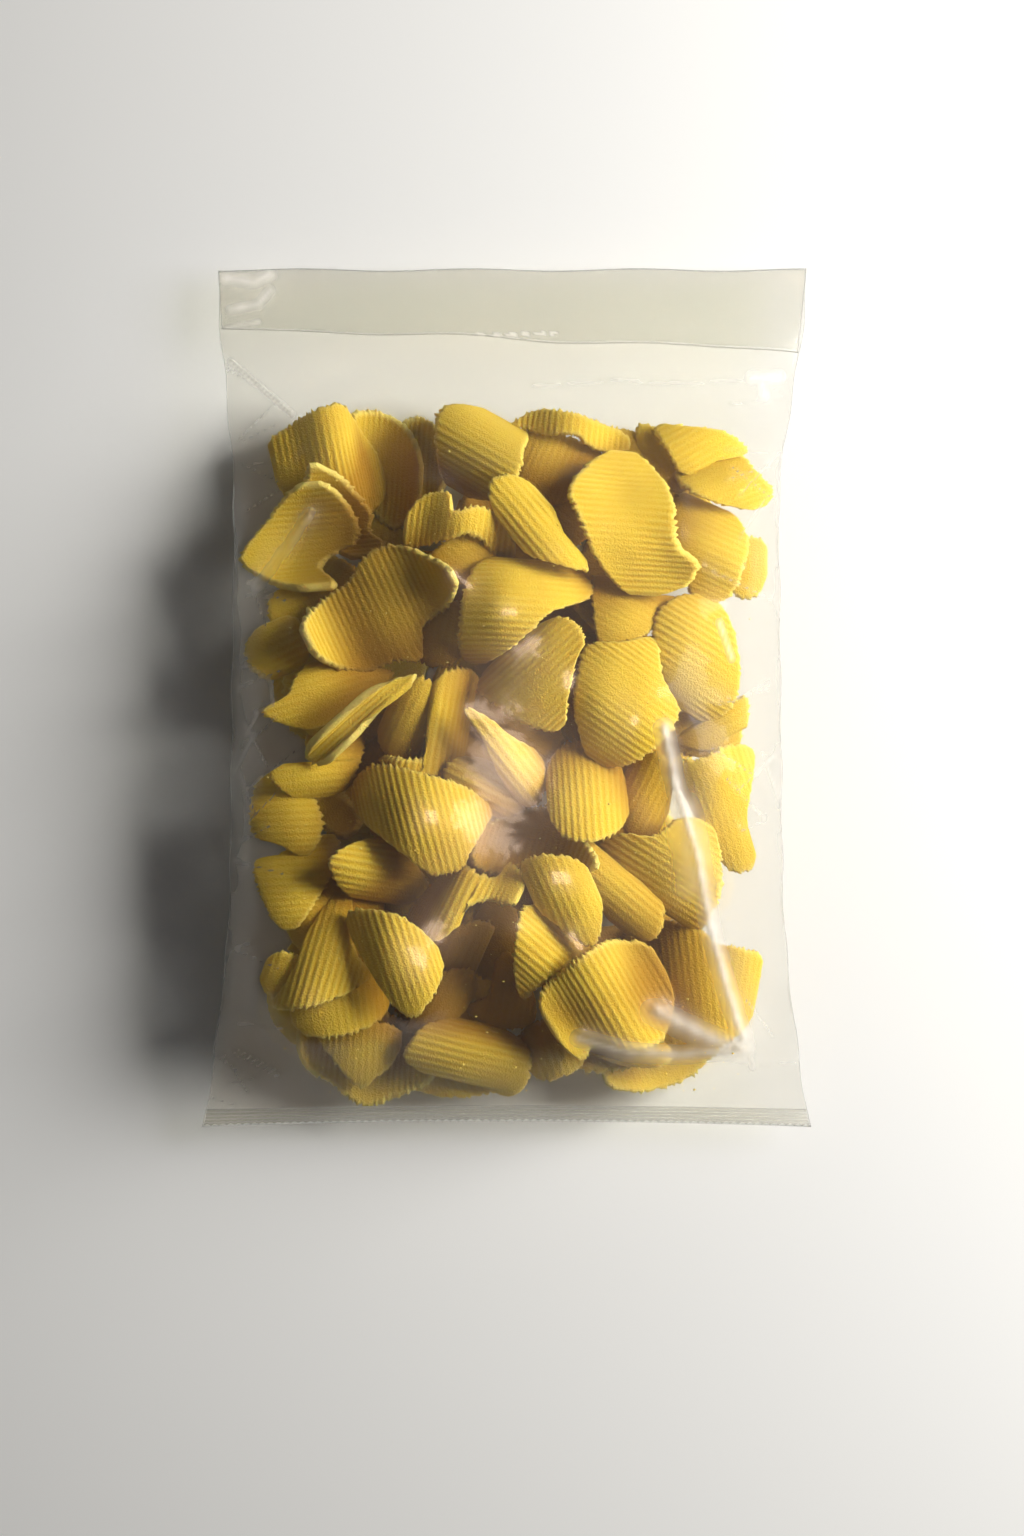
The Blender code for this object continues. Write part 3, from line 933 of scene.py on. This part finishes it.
# %% Scatter the crumbs under the film
CRUMBS = 230
CRUMB_SIZES, CRUMB_CHANCES = [0.16, 0.24, 0.38], [0.6, 0.3, 0.1]
CRUMBS_FROM, CRUMBS_REACH = -98.0, 165.0
CRUMB_HANG = 0.35
crumb_rng = np.random.default_rng(9)
crumb_parts = []
for _ in range(CRUMBS):
    x = crumb_rng.uniform(-60, 60)
    y = CRUMBS_FROM + CRUMBS_REACH * crumb_rng.uniform(0, 1) ** 1.4
    points, quads = crumb(crumb_rng, crumb_rng.choice(CRUMB_SIZES, p=CRUMB_CHANCES))
    cell = film_cells(np.array([[x, y]]))
    points = points + np.array([x, y, front[cell][0] - CRUMB_HANG])
    marks = np.tile([1.0, 0.6, crumb_rng.uniform(0, 1)], (len(points), 1))
    crumb_parts.append((points, quads, marks))
crumbs = mesh_object("crumbs", *joined(crumb_parts))
crisp_pieces.append(crumbs)
print(CRUMBS, "crumbs,", 2 * len(crumbs.data.polygons), "triangles")

# %% [markdown]
# ## The folded flap and the weld
#
# The top of the sleeve is folded over onto the front and tacked down, a little askew, so
# its free edge slants. It is a second sheet that follows the film below it, a fraction of
# a millimetre above. The bottom is shut by a hot jaw that crimps a band of fine teeth into
# both films. The film's own grid is too coarse for teeth, so the band is a strip of its own.

# %% The flap
FLAP_LEFT, FLAP_RIGHT = 15.0, 21.0
FLAP_ROWS = 34
FILM_THICKNESS = 0.12
FLAP_STANDOFF = 0.35
FLAP_FOLLOWS, FOLLOW_REACH = 30, 24.0
FLAP_LIP = 0.5


def front_at(x, y):
    """The height of the front film at places of the plan, between the points of its grid."""
    along = np.clip(y / LENGTH + 0.5, 0.0, 0.9999)
    across = (x - lean_at(along)) / half_width(along)
    i = np.clip(np.interp(across, column_place, np.arange(COLUMNS)), 0.0, COLUMNS - 1.001)
    j = along * (ROWS - 1)
    i0, j0 = i.astype(int), j.astype(int)
    u, v = i - i0, j - j0
    near = front[i0, j0] * (1 - u) + front[i0 + 1, j0] * u
    far = front[i0, j0 + 1] * (1 - u) + front[i0 + 1, j0 + 1] * u
    return near * (1 - v) + far * v


def thin_sheet(name, x, y, z):
    """A closed sheet of film over a grid of places."""
    columns, rows = x.shape
    top = np.stack([x, y, z], axis=2)
    bottom = top - np.array([0.0, 0.0, FILM_THICKNESS])
    points = np.concatenate([top.reshape(-1, 3), bottom[1:-1, 1:-1].reshape(-1, 3)])
    return mesh_object(name, points, skin_faces(columns, rows))


share = np.linspace(0.0, 1.0, FLAP_ROWS)[None, :]
flap_u = across_grid[:, :1]
flap_length = FLAP_LEFT + (FLAP_RIGHT - FLAP_LEFT) * 0.5 * (flap_u + 1.0) + 0.4 * np.sin(7.0 * flap_u)
top_x, top_y, top_z = film_x[:, -1:], film_y[:, -1:], front[:, -1:]
flap_y = top_y - flap_length * share
below_x = film_x[:, -FLAP_FOLLOWS, None]
flap_x = top_x + (below_x - top_x) * share * flap_length / FOLLOW_REACH
ripple = 0.16 * np.sin(0.09 * flap_x + 0.35 * flap_y) + 0.10 * np.sin(0.21 * flap_x - 0.28 * flap_y)
flap_z = front_at(flap_x, flap_y) + FLAP_STANDOFF + ripple * np.sin(np.pi * share) ** 0.5
flap_z = flap_z + FLAP_LIP * smooth(0.92, 1.0, share) * (0.6 + 0.4 * np.sin(5.0 * flap_u))
flap_z[:, 0] = top_z[:, 0] + 0.1
flap = thin_sheet("bag_flap", flap_x, flap_y, flap_z)
print("flap:", 2 * len(flap.data.polygons), "triangles")

# %% [markdown]
# Where film is cut, tacked or crushed it turns whitish. The flap's free edge and the short
# row of tack marks near it differ from the clear film in whiteness only, and three streaks
# in its left corner are a painted highlight, a glossy patch given as whiteness with no fold
# under it, so they are all values on the mesh that the finish reads.

# %% The flap's edge, its row of tack marks and the painted highlight in its corner
TACK_PITCH, TACK_LENGTH = 3.6, 2.3
free_edge = 0.45 * smooth(0.955, 1.0, share) + 0.0 * flap_x
tacked = (np.abs(flap_y - 90.5 - 0.03 * flap_x) < 0.45) & (np.mod(flap_x, TACK_PITCH) < TACK_LENGTH)
tacked = tacked & (flap_x > -28.0) & (flap_x < 14.0)
# Painted highlight: three streaks of whiteness in the left corner, with no lift, stand in for a glossy patch.
corner = [
    Fold([(-70, 105), (-63, 104), (-59, 106)], 0.0, 1.6, 0.7),
    Fold([(-69, 97), (-62, 98.5), (-59, 102)], 0.0, 1.3, 0.6),
    Fold([(-70, 92.5), (-62, 94)], 0.0, 0.9, 0.4),
]
flap_white = np.maximum(np.maximum(free_edge, 0.4 * tacked), fold_whitening_and_highlight(flap_x, flap_y, corner))
add_whiteness(flap, np.concatenate([flap_white.ravel(), flap_white[1:-1, 1:-1].ravel()]))

# %% [markdown]
# The jaw that shuts the bottom leaves two things: teeth along the cut edge, and fine lines
# across the band. A bump map would show the lines but not the teeth in the outline, so the
# band is a fine strip of mesh with both, laid just over the film.

# %% The weld
WELD_WIDTH = 4.6
WELD_LINES = 5
TOOTH_PITCH = 2.0
TOOTH_DEPTH = 0.7
CRIMP_DEPTH = 0.10
weld_u = np.linspace(-0.998, 0.998, 601)[:, None]
weld_share = np.linspace(0.0, 1.0, 11)[None, :]
weld_along = weld_share * WELD_WIDTH / LENGTH
weld_x = weld_u * half_width(weld_along)
tooth = 2.0 * np.abs(weld_x / TOOTH_PITCH - np.floor(weld_x / TOOTH_PITCH + 0.5))
weld_y = -0.5 * LENGTH + BOTTOM_ARCH * (1.0 - weld_u**2) + WELD_WIDTH * weld_share
weld_y = weld_y + TOOTH_DEPTH * tooth * (1.0 - weld_share) ** 4
weld_lines = np.cos(2 * np.pi * weld_share * WELD_LINES)
crimp = CRIMP_DEPTH * weld_lines * np.cos(2 * np.pi * weld_x / TOOTH_PITCH)
weld_z = front_at(weld_x, weld_y) + 0.22 + crimp * np.sin(np.pi * weld_share)
weld = thin_sheet("bag_weld", weld_x, weld_y, weld_z)
weld_white = 0.10 + 0.12 * weld_lines + 0.0 * weld_x
add_whiteness(weld, np.concatenate([weld_white.ravel(), weld_white[1:-1, 1:-1].ravel()]))
print("weld:", 2 * len(weld.data.polygons), "triangles")

# %% [markdown]
# ## The crisps' finish
#
# Puffed corn is matt and a little see-through: light goes in, scatters, and comes out
# warmer. A Principled surface with a yellow base and some subsurface scattering gives
# that. One flat yellow would look like plastic, so the marks kept on the mesh steer the
# colour: red tells valleys from ridge tops, which are darker and paler partly by the
# dough's own tone and partly as painted shade and light; green the pale rims, partly
# painted light where a rim faces up; blue gives each crisp its own tint; and alpha tells
# how deep in the bag it lies, where a painted shade turns it brown.

# %% Helpers for building materials
NOISE_DETAIL = 4.0
NOISE_SPAN = (0.3, 0.7)
Tree = namedtuple("Tree", "nodes links")


def new_material(name):
    """A material with nodes, and its tree."""
    made = bpy.data.materials.new(name)
    made.use_nodes = True
    return made, Tree(made.node_tree.nodes, made.node_tree.links)


def blend(tree, factor, low, high):
    """A colour between two others; each is a colour or the output of a node."""
    mix = tree.nodes.new("ShaderNodeMix")
    mix.data_type = "RGBA"
    for socket, value in ((mix.inputs["A"], low), (mix.inputs["B"], high)):
        if isinstance(value, tuple):
            socket.default_value = (*value, 1.0)
        else:
            tree.links.new(value, socket)
    tree.links.new(factor, mix.inputs["Factor"])
    return mix.outputs["Result"]


def scaled(tree, value, factor, plus=0.0):
    """A value times a factor, plus a constant, kept between 0 and 1."""
    maths = tree.nodes.new("ShaderNodeMath")
    maths.operation = "MULTIPLY_ADD"
    maths.use_clamp = True
    maths.inputs[1].default_value = factor
    maths.inputs[2].default_value = plus
    tree.links.new(value, maths.inputs[0])
    return maths.outputs[0]


def grain(tree, scale, low, high):
    """Fine noise stretched between two levels."""
    place = tree.nodes.new("ShaderNodeTexCoord")
    noise = tree.nodes.new("ShaderNodeTexNoise")
    noise.inputs["Scale"].default_value = scale
    noise.inputs["Detail"].default_value = NOISE_DETAIL
    tree.links.new(place.outputs["Object"], noise.inputs["Vector"])
    level = tree.nodes.new("ShaderNodeMapRange")
    level.inputs["From Min"].default_value = NOISE_SPAN[0]
    level.inputs["From Max"].default_value = NOISE_SPAN[1]
    level.inputs["To Min"].default_value = low
    level.inputs["To Max"].default_value = high
    tree.links.new(noise.outputs["Fac"], level.inputs["Value"])
    return level.outputs["Result"]


def bumped(tree, height, strength, distance):
    """A normal that follows a height."""
    bump = tree.nodes.new("ShaderNodeBump")
    bump.inputs["Strength"].default_value = strength
    bump.inputs["Distance"].default_value = distance
    tree.links.new(height, bump.inputs["Height"])
    return bump.outputs["Normal"]


# %% The colours of a crisp
DEEP = (0.63, 0.345, 0.003)
GOLD = (0.78, 0.495, 0.008)
PALE = (0.92, 0.69, 0.10)
RIM = (0.95, 0.76, 0.20)
# The next colour is the brown of a painted shade deep between the crisps.
PAINTED_SHADE_BROWN = (0.36, 0.15, 0.004)
RIDGE_CONTRAST = 0.50
SHADE_IN_GAPS = 0.8
BLOTCH_SCALE = 90.0
SPECK_SCALE, SPECK_SHARE = 2600.0, 0.22


def crisp_colour(tree):
    """The base colour, from the marks on the mesh and two grains of noise."""
    mark = tree.nodes.new("ShaderNodeAttribute")
    mark.attribute_name = "marks"
    split = tree.nodes.new("ShaderNodeSeparateColor")
    tree.links.new(mark.outputs["Color"], split.inputs["Color"])
    valley = blend(tree, split.outputs["Blue"], DEEP, GOLD)
    toned = blend(tree, grain(tree, BLOTCH_SCALE, 0.0, 1.0), valley, GOLD)
    # Ridge tops paler and valleys darker: partly the dough's own tone, partly painted light and shade.
    ridged = blend(tree, scaled(tree, split.outputs["Red"], RIDGE_CONTRAST), toned, PALE)
    # Pale rims: partly the crumbly edge's own colour, partly painted light where a rim faces up.
    rimmed = blend(tree, split.outputs["Green"], ridged, RIM)
    speckled = blend(tree, grain(tree, SPECK_SCALE, 0.0, SPECK_SHARE), rimmed, RIM)
    # Painted shade: the fourth mark darkens crisps deep in the bag towards brown.
    return blend(tree, scaled(tree, mark.outputs["Alpha"], SHADE_IN_GAPS), speckled, PAINTED_SHADE_BROWN)


# %% [markdown]
# The surface of a puffed crisp is dull and full of pores finer than the mesh. Real relief
# that fine would cost millions of triangles, so the pores are a bump, while all that shows
# in the outline stays in the mesh.

# %% Put the crisp material together
CRISP_ROUGHNESS = 0.78
SCATTER_SHARE, SCATTER_REACH = 0.25, 0.0016
SCATTER_TINT = (1.0, 0.55, 0.12)
PORE_SCALE, PORE_STRENGTH, PORE_DEPTH = 2200.0, 0.65, 0.00025
crisp_material, crisp_tree = new_material("puffed_crisp")
crisp_shader = crisp_tree.nodes["Principled BSDF"]
crisp_shader.inputs["Roughness"].default_value = CRISP_ROUGHNESS
crisp_shader.inputs["Subsurface Weight"].default_value = SCATTER_SHARE
crisp_shader.inputs["Subsurface Radius"].default_value = SCATTER_TINT
crisp_shader.inputs["Subsurface Scale"].default_value = SCATTER_REACH
crisp_tree.links.new(crisp_colour(crisp_tree), crisp_shader.inputs["Base Color"])
pores = bumped(crisp_tree, grain(crisp_tree, PORE_SCALE, 0.0, 1.0), PORE_STRENGTH, PORE_DEPTH)
crisp_tree.links.new(pores, crisp_shader.inputs["Normal"])
for piece in crisp_pieces:
    piece.data.materials.append(crisp_material)
print("crisp material on", len(crisp_pieces), "pieces")

# %% [markdown]
# ## The film's finish
#
# Clear film could be a glass material, but it is far thinner than any mesh, so nearly all
# the light goes straight through. The look is a mix: mostly open, a little blurred, a
# touch of milky haze, and gloss that grows at grazing angles. Creased film scatters light,
# and along the fold flanks a highlight is painted as well, so the whiteness kept on the
# mesh raises the haze along them. A Fresnel node takes a back face for the inside of a
# solid and mirrors everything there, which would turn the thin film black from low
# angles, so the index is inverted on back faces.

# %% Helpers for mixing shaders
def shader_mix(tree, first, second, share):
    """A mix of two shaders."""
    made = tree.nodes.new("ShaderNodeMixShader")
    tree.links.new(first, made.inputs[1])
    tree.links.new(second, made.inputs[2])
    if isinstance(share, float):
        made.inputs["Fac"].default_value = share
    else:
        tree.links.new(share, made.inputs["Fac"])
    return made.outputs["Shader"]


def add_shader(tree, kind, colour, normal=None, **values):
    """A shader with its colour and other values."""
    made = tree.nodes.new(kind)
    made.inputs["Color"].default_value = (*colour, 1.0)
    for socket, value in values.items():
        made.inputs[socket].default_value = value
    if normal is not None:
        tree.links.new(normal, made.inputs["Normal"])
    return made.outputs[0]


# %% What shows through the film, and its haze
FILM_TINT = (0.93, 0.93, 0.91)
HAZE_COLOUR = (1.0, 0.98, 0.95)
OPEN_SHARE = 0.88
BLUR, BLUR_INDEX = 0.40, 1.10
HAZE_ON_TOP = 0.6
WHITENESS_AND_HIGHLIGHT = 0.95


def seen_through(tree, haze_share):
    """The open part of the film with its blur and haze."""
    through = add_shader(tree, "ShaderNodeBsdfTransparent", FILM_TINT)
    blurred = add_shader(tree, "ShaderNodeBsdfRefraction", FILM_TINT, Roughness=BLUR, IOR=BLUR_INDEX)
    haze = shader_mix(
        tree,
        add_shader(tree, "ShaderNodeBsdfTranslucent", HAZE_COLOUR),
        add_shader(tree, "ShaderNodeBsdfDiffuse", HAZE_COLOUR),
        HAZE_ON_TOP,
    )
    whiteness = tree.nodes.new("ShaderNodeAttribute")
    whiteness.attribute_name = "whiteness"
    # The whiteness raises the haze: whitish cut and creased film, and the painted highlight along the fold
    # flanks.
    level = scaled(tree, whiteness.outputs["Fac"], WHITENESS_AND_HIGHLIGHT, haze_share)
    return shader_mix(tree, shader_mix(tree, blurred, through, OPEN_SHARE), haze, level)


# %% The film's gloss
FILM_INDEX = 1.5
WRINKLE_SCALE, WRINKLE_STRENGTH, WRINKLE_DEPTH = 38.0, 0.14, 0.0012
SHARP_ROUGHNESS, SOFT_ROUGHNESS, SOFT_SHARE = 0.09, 0.38, 0.8
SHINE_COLOUR = (1.0, 1.0, 1.0)
SHADOW_TINT = (0.92, 0.92, 0.90)


def gloss_by_angle(tree, strength):
    """How much the film reflects, the same on its two faces."""
    side = tree.nodes.new("ShaderNodeNewGeometry")
    index = scaled(tree, side.outputs["Backfacing"], 1.0 / FILM_INDEX - FILM_INDEX, FILM_INDEX)
    index.node.use_clamp = False
    fresnel = tree.nodes.new("ShaderNodeFresnel")
    tree.links.new(index, fresnel.inputs["IOR"])
    return scaled(tree, fresnel.outputs["Fac"], strength)


def film_material(name, gloss, haze_share):
    """Thin clear film."""
    made, tree = new_material(name)
    tree.nodes.remove(tree.nodes["Principled BSDF"])
    wrinkled = bumped(tree, grain(tree, WRINKLE_SCALE, 0.0, 1.0), WRINKLE_STRENGTH, WRINKLE_DEPTH)
    gloss_kind = "ShaderNodeBsdfAnisotropic"
    sharp = add_shader(tree, gloss_kind, SHINE_COLOUR, wrinkled, Roughness=SHARP_ROUGHNESS)
    soft = add_shader(tree, gloss_kind, SHINE_COLOUR, wrinkled, Roughness=SOFT_ROUGHNESS)
    shine = shader_mix(tree, sharp, soft, SOFT_SHARE)
    film_look = shader_mix(tree, seen_through(tree, haze_share), shine, gloss_by_angle(tree, gloss))
    path = tree.nodes.new("ShaderNodeLightPath")
    lamp_look = add_shader(tree, "ShaderNodeBsdfTransparent", SHADOW_TINT)
    surface = shader_mix(tree, film_look, lamp_look, path.outputs["Is Shadow Ray"])
    tree.links.new(surface, tree.nodes["Material Output"].inputs["Surface"])
    return made


# %% [markdown]
# Front and back are the same film. But the back is pressed against the floor and seen only
# through the front and the crisps, where a second set of reflections would be a false
# streak, so it gets the same build with far less gloss.

# %% Give the film its materials
FRONT_GLOSS, FRONT_HAZE = 1.0, 0.03
BACK_GLOSS, BACK_HAZE = 0.10, 0.02
front_film = film_material("clear_film", FRONT_GLOSS, FRONT_HAZE)
back_film = film_material("clear_film_back", BACK_GLOSS, BACK_HAZE)
film.data.materials.append(front_film)
film.data.materials.append(back_film)
flap.data.materials.append(front_film)
weld.data.materials.append(front_film)
print("film materials:", front_film.name, "and", back_film.name)

# %% [markdown]
# ## Light
#
# A bag of film is lit by one large soft lamp low at its right, so that every crisp has a
# bright and a dark side and the ridges stand out. The film would mirror that lamp as one
# harsh patch. So the large lamp gives no reflections, and two weak ones give only
# reflections: a warm one overhead for the glare in the middle, and a narrow one at the
# side for the streaks on the creases.

# %% Lamps
def area_light(name, place, target, size, power, colour):
    """A soft light that looks at a point."""
    lamp = bpy.data.lights.new(name, "AREA")
    lamp.shape = "RECTANGLE"
    lamp.size, lamp.size_y = size
    lamp.energy = power
    lamp.color = colour
    made = bpy.data.objects.new(name, lamp)
    made.location = place
    made.rotation_euler = (Vector(target) - Vector(place)).to_track_quat("-Z", "Y").to_euler()
    bpy.context.scene.collection.objects.link(made)
    return made


BAG_MIDDLE = (0.0, 0.0, 0.02)
GLARE_MIDDLE = (0.018, -0.018, 0.04)
SOFT_WHITE = (1.0, 0.98, 0.94)
WARM = (1.0, 0.74, 0.56)
STREAK_WHITE = (1.0, 0.99, 0.97)
key = area_light("key", (0.62, 0.18, 0.42), BAG_MIDDLE, (0.42, 0.42), 10.0, SOFT_WHITE)
key.visible_glossy = False
glow = area_light("glow", (0.039, -0.0185, 1.30), GLARE_MIDDLE, (0.16, 0.18), 3.8, WARM)
glow.visible_diffuse = False
strip = area_light("strip", (0.75, 0.12, 0.52), BAG_MIDDLE, (0.14, 0.45), 1.8, STREAK_WHITE)
strip.visible_diffuse = False
print("lamps:", [lamp.name for lamp in (key, glow, strip)])

# %% [markdown]
# A faint even light from all around keeps the gaps between the crisps from going black. It
# stays weak, since it fills the shadows that show how deep the ridges are. Two bounces of
# scattered light are enough for the warm glow from one crisp to the next.

# %% The air around it
AIR_COLOUR = (0.95, 0.97, 1.0)
AIR_STRENGTH = 0.055
world = bpy.data.worlds.new("studio")
world.use_nodes = True
background = world.node_tree.nodes["Background"]
background.inputs["Color"].default_value = (*AIR_COLOUR, 1)
background.inputs["Strength"].default_value = AIR_STRENGTH
bpy.context.scene.world = world
bpy.context.scene.view_settings.view_transform = "Standard"
bpy.context.scene.cycles.diffuse_bounces = 2
print("even light from all around:", AIR_STRENGTH)

# %% [markdown]
# ## Floor and camera
#
# The bag lies on a plain pale floor, and the camera looks straight down from about a
# metre, with a long lens so that the bag's sides stay parallel.

# %% Floor
FLOOR_REACH = 3.0
FLOOR_DROP = 0.0002
FLOOR_COLOUR = (0.93, 0.93, 0.92)
FLOOR_ROUGHNESS = 0.8
floor_mesh = bpy.data.meshes.new("floor")
corners = [(-FLOOR_REACH, -FLOOR_REACH, 0), (FLOOR_REACH, -FLOOR_REACH, 0)]
corners += [(FLOOR_REACH, FLOOR_REACH, 0), (-FLOOR_REACH, FLOOR_REACH, 0)]
floor_mesh.from_pydata(corners, [], [(0, 1, 2, 3)])
floor = bpy.data.objects.new("floor", floor_mesh)
bpy.context.scene.collection.objects.link(floor)
floor.location.z = -FLOOR_DROP
floor_material, floor_tree = new_material("floor_paint")
floor_shader = floor_tree.nodes["Principled BSDF"]
floor_shader.inputs["Base Color"].default_value = (*FLOOR_COLOUR, 1)
floor_shader.inputs["Roughness"].default_value = FLOOR_ROUGHNESS
floor.data.materials.append(floor_material)
print("floor", 2 * FLOOR_REACH, "m wide")

# %% Camera
CAMERA_PLACE = (0.0014, -0.0176, 1.077)
LENS, SENSOR = 100, 36
camera_data = bpy.data.cameras.new("camera")
camera_data.lens = LENS
camera_data.sensor_width = SENSOR
camera_data.clip_start, camera_data.clip_end = 0.05, 10
camera = bpy.data.objects.new("camera", camera_data)
camera.location = CAMERA_PLACE
bpy.context.scene.collection.objects.link(camera)
bpy.context.scene.camera = camera
print("camera", round(1000 * camera.location.z), "mm up, lens", camera_data.lens)

# %% [markdown]
# ## Ride and replace
#
# Nothing in a bag of crisps moves by itself, so every piece rides on the root. Together
# the pieces stand in for the plain solid of the bag.

# %% Ride and replace
for piece in crisp_pieces:
    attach(piece, "root")
    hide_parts("bag")
for piece in (film, flap, weld):
    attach(piece, "root")
    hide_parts("bag")
